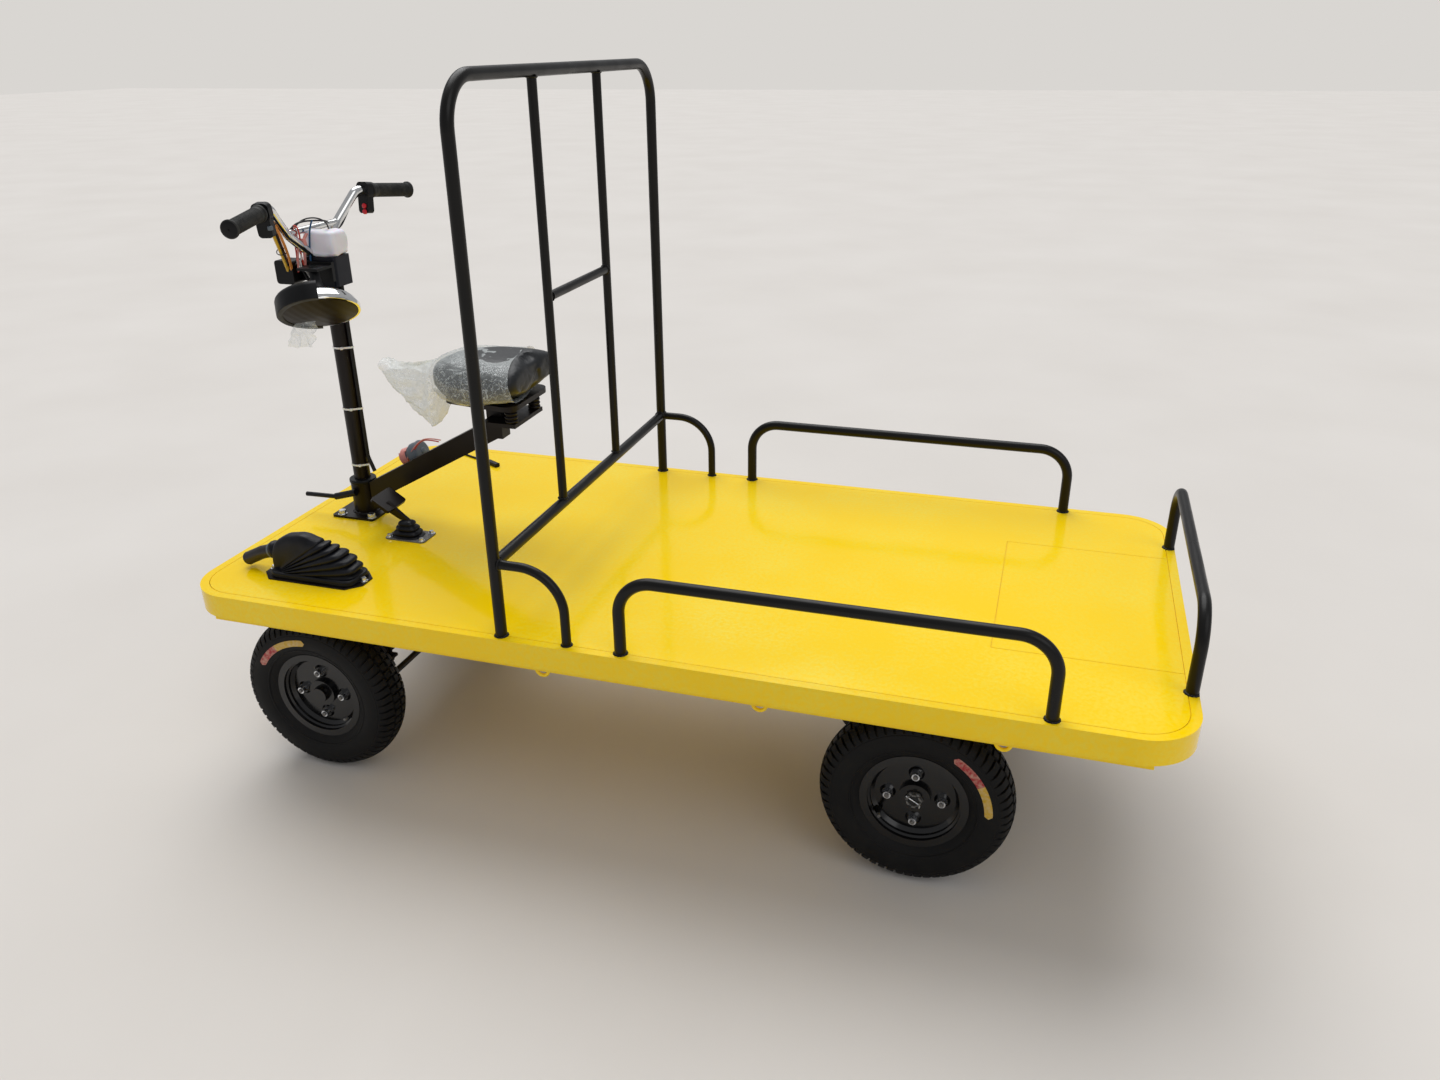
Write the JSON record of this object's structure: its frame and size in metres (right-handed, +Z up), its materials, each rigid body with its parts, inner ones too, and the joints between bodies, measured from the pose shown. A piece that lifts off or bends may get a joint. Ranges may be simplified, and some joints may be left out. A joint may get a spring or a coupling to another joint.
{
  "type": "electric platform cart",
  "caption": "Flat steel platform cart with a steered front axle on leaf springs, a handlebar column, a saddle seat, a tall headboard, low side and rear rails and a battery hatch.",
  "frame": {"origin": "on the ground, under the middle of the deck", "axes": "+X to the front of the cart, +Y to its left, +Z up"},
  "size_m": [2.2, 1.05, 1.6299],
  "materials": {
    "battery_case": "matt moulded case",
    "black_plastic": "satin moulded plastic",
    "black_rim": "gloss black paint",
    "black_steel": "satin black paint",
    "black_tube": "satin black powder coat",
    "boot_rubber": "satin pleated rubber",
    "cable": "matt sheath",
    "chrome_bowl": "polished plating",
    "chrome_tube": "polished plating",
    "clear_film": "clear crumpled wrapping",
    "grey_plastic": "satin moulded plastic",
    "grip_rubber": "matt ribbed rubber",
    "lamp_glass": "clear ribbed lens",
    "plated_steel": "yellow zinc plate",
    "seat_vinyl": "black vinyl, padded",
    "tyre": "black rubber with a block tread",
    "white_foam": "white packing foam under film",
    "yellow_paint": "gloss enamel paint"
  },
  "bodies": {
    "chassis": {"battery": "battery_case", "battery_tray": "black_steel", "brake_pedal": "black_steel", "column_housing": "black_steel", "cross_tubes": "yellow_paint", "deck_frame": "yellow_paint", "deck_lead": "cable", "deck_plate": "yellow_paint", "drive_motor": "black_steel", "end_beams": "yellow_paint", "foot_lever": "black_steel", "front_axle": "black_steel", "front_springs": "black_steel", "hand_brake_boot": "boot_rubber", "hand_brake_lever": "black_plastic", "headboard_bars": "black_tube", "headboard_braces": "black_tube", "headboard_hoop": "black_tube", "horn": "grey_plastic", "lead_connector": "black_plastic", "lead_gland": "black_plastic", "long_rails": "yellow_paint", "pedal_boot": "boot_rubber", "rear_axle": "black_steel", "rear_rail": "black_tube", "rear_springs": "black_steel", "seat_arm": "black_steel", "seat_cushion": "seat_vinyl", "seat_frame": "plated_steel", "seat_wrap": "clear_film", "side_rail_left": "black_tube", "side_rail_right": "black_tube", "side_tubes": "yellow_paint", "spring_clamps": "black_steel", "spring_hangers": "black_steel"},
    "steering": {"steering_column": "black_steel", "pitman_arm": "black_steel", "column_head": "black_plastic", "handlebar": "chrome_tube", "grips": "grip_rubber", "bar_switches": "black_plastic", "meter_box": "white_foam", "headlight": "chrome_bowl", "headlight_cowl": "black_plastic", "headlight_lens": "lamp_glass", "headlight_bracket": "black_plastic", "column_cable": "cable"},
    "knuckle_left": {"knuckle_left": "black_steel"},
    "knuckle_right": {"knuckle_right": "black_steel"},
    "tie_rod": {"tie_rod": "black_steel"},
    "drag_link": {"drag_link": "black_steel"},
    "hatch": {"hatch_lid": "yellow_paint"},
    "wheel_front_left": {"tyre_front_left": "tyre", "rim_front_left": "black_rim"},
    "wheel_front_right": {"tyre_front_right": "tyre", "rim_front_right": "black_rim"},
    "wheel_rear_left": {"tyre_rear_left": "tyre", "rim_rear_left": "black_rim"},
    "wheel_rear_right": {"tyre_rear_right": "tyre", "rim_rear_right": "black_rim"}
  },
  "joints": [
    {"name": "steer", "type": "hinge", "parent": "chassis", "child": "steering", "pos_m": [0.943, 0, 0.8], "axis": [0, 0, 1], "range_deg": [-35, 35]},
    {"name": "knuckle_left_turn", "type": "hinge", "parent": "chassis", "child": "knuckle_left", "pos_m": [0.873, 0.285, 0.2075], "axis": [0, 0, 1], "range_deg": [-35, 35]},
    {"name": "knuckle_right_turn", "type": "hinge", "parent": "chassis", "child": "knuckle_right", "pos_m": [0.873, -0.285, 0.2075], "axis": [0, 0, 1], "range_deg": [-35, 35]},
    {"name": "tie_rod_pivot", "type": "hinge", "parent": "knuckle_left", "child": "tie_rod", "pos_m": [0.773, 0.285, 0.188], "axis": [0, 0, 1], "range_deg": [-35, 35]},
    {"name": "drag_link_pivot", "type": "hinge", "parent": "steering", "child": "drag_link", "pos_m": [0.843, 0, 0.306], "axis": [0, 0, 1], "range_deg": [-35, 35]},
    {"name": "wheel_front_left_spin", "type": "hinge", "parent": "knuckle_left", "child": "wheel_front_left", "pos_m": [0.873, 0.362, 0.2075], "axis": [0, 1, 0], "continuous": true},
    {"name": "wheel_front_right_spin", "type": "hinge", "parent": "knuckle_right", "child": "wheel_front_right", "pos_m": [0.873, -0.362, 0.2075], "axis": [0, 1, 0], "continuous": true},
    {"name": "wheel_rear_left_spin", "type": "hinge", "parent": "chassis", "child": "wheel_rear_left", "pos_m": [-0.588, 0.362, 0.2075], "axis": [0, 1, 0], "continuous": true},
    {"name": "wheel_rear_right_spin", "type": "hinge", "parent": "chassis", "child": "wheel_rear_right", "pos_m": [-0.588, -0.362, 0.2075], "axis": [0, 1, 0], "continuous": true},
    {"name": "hatch_hinge", "type": "hinge", "parent": "chassis", "child": "hatch", "pos_m": [-0.70775, 0, 0.53], "axis": [0, 1, 0], "range_deg": [0, 100]}
  ],
  "couplings": [
    {"joint": "knuckle_left_turn", "follows": "steer", "ratio": 1},
    {"joint": "knuckle_right_turn", "follows": "steer", "ratio": 1},
    {"joint": "tie_rod_pivot", "follows": "steer", "ratio": -1},
    {"joint": "drag_link_pivot", "follows": "steer", "ratio": -1}
  ]
}
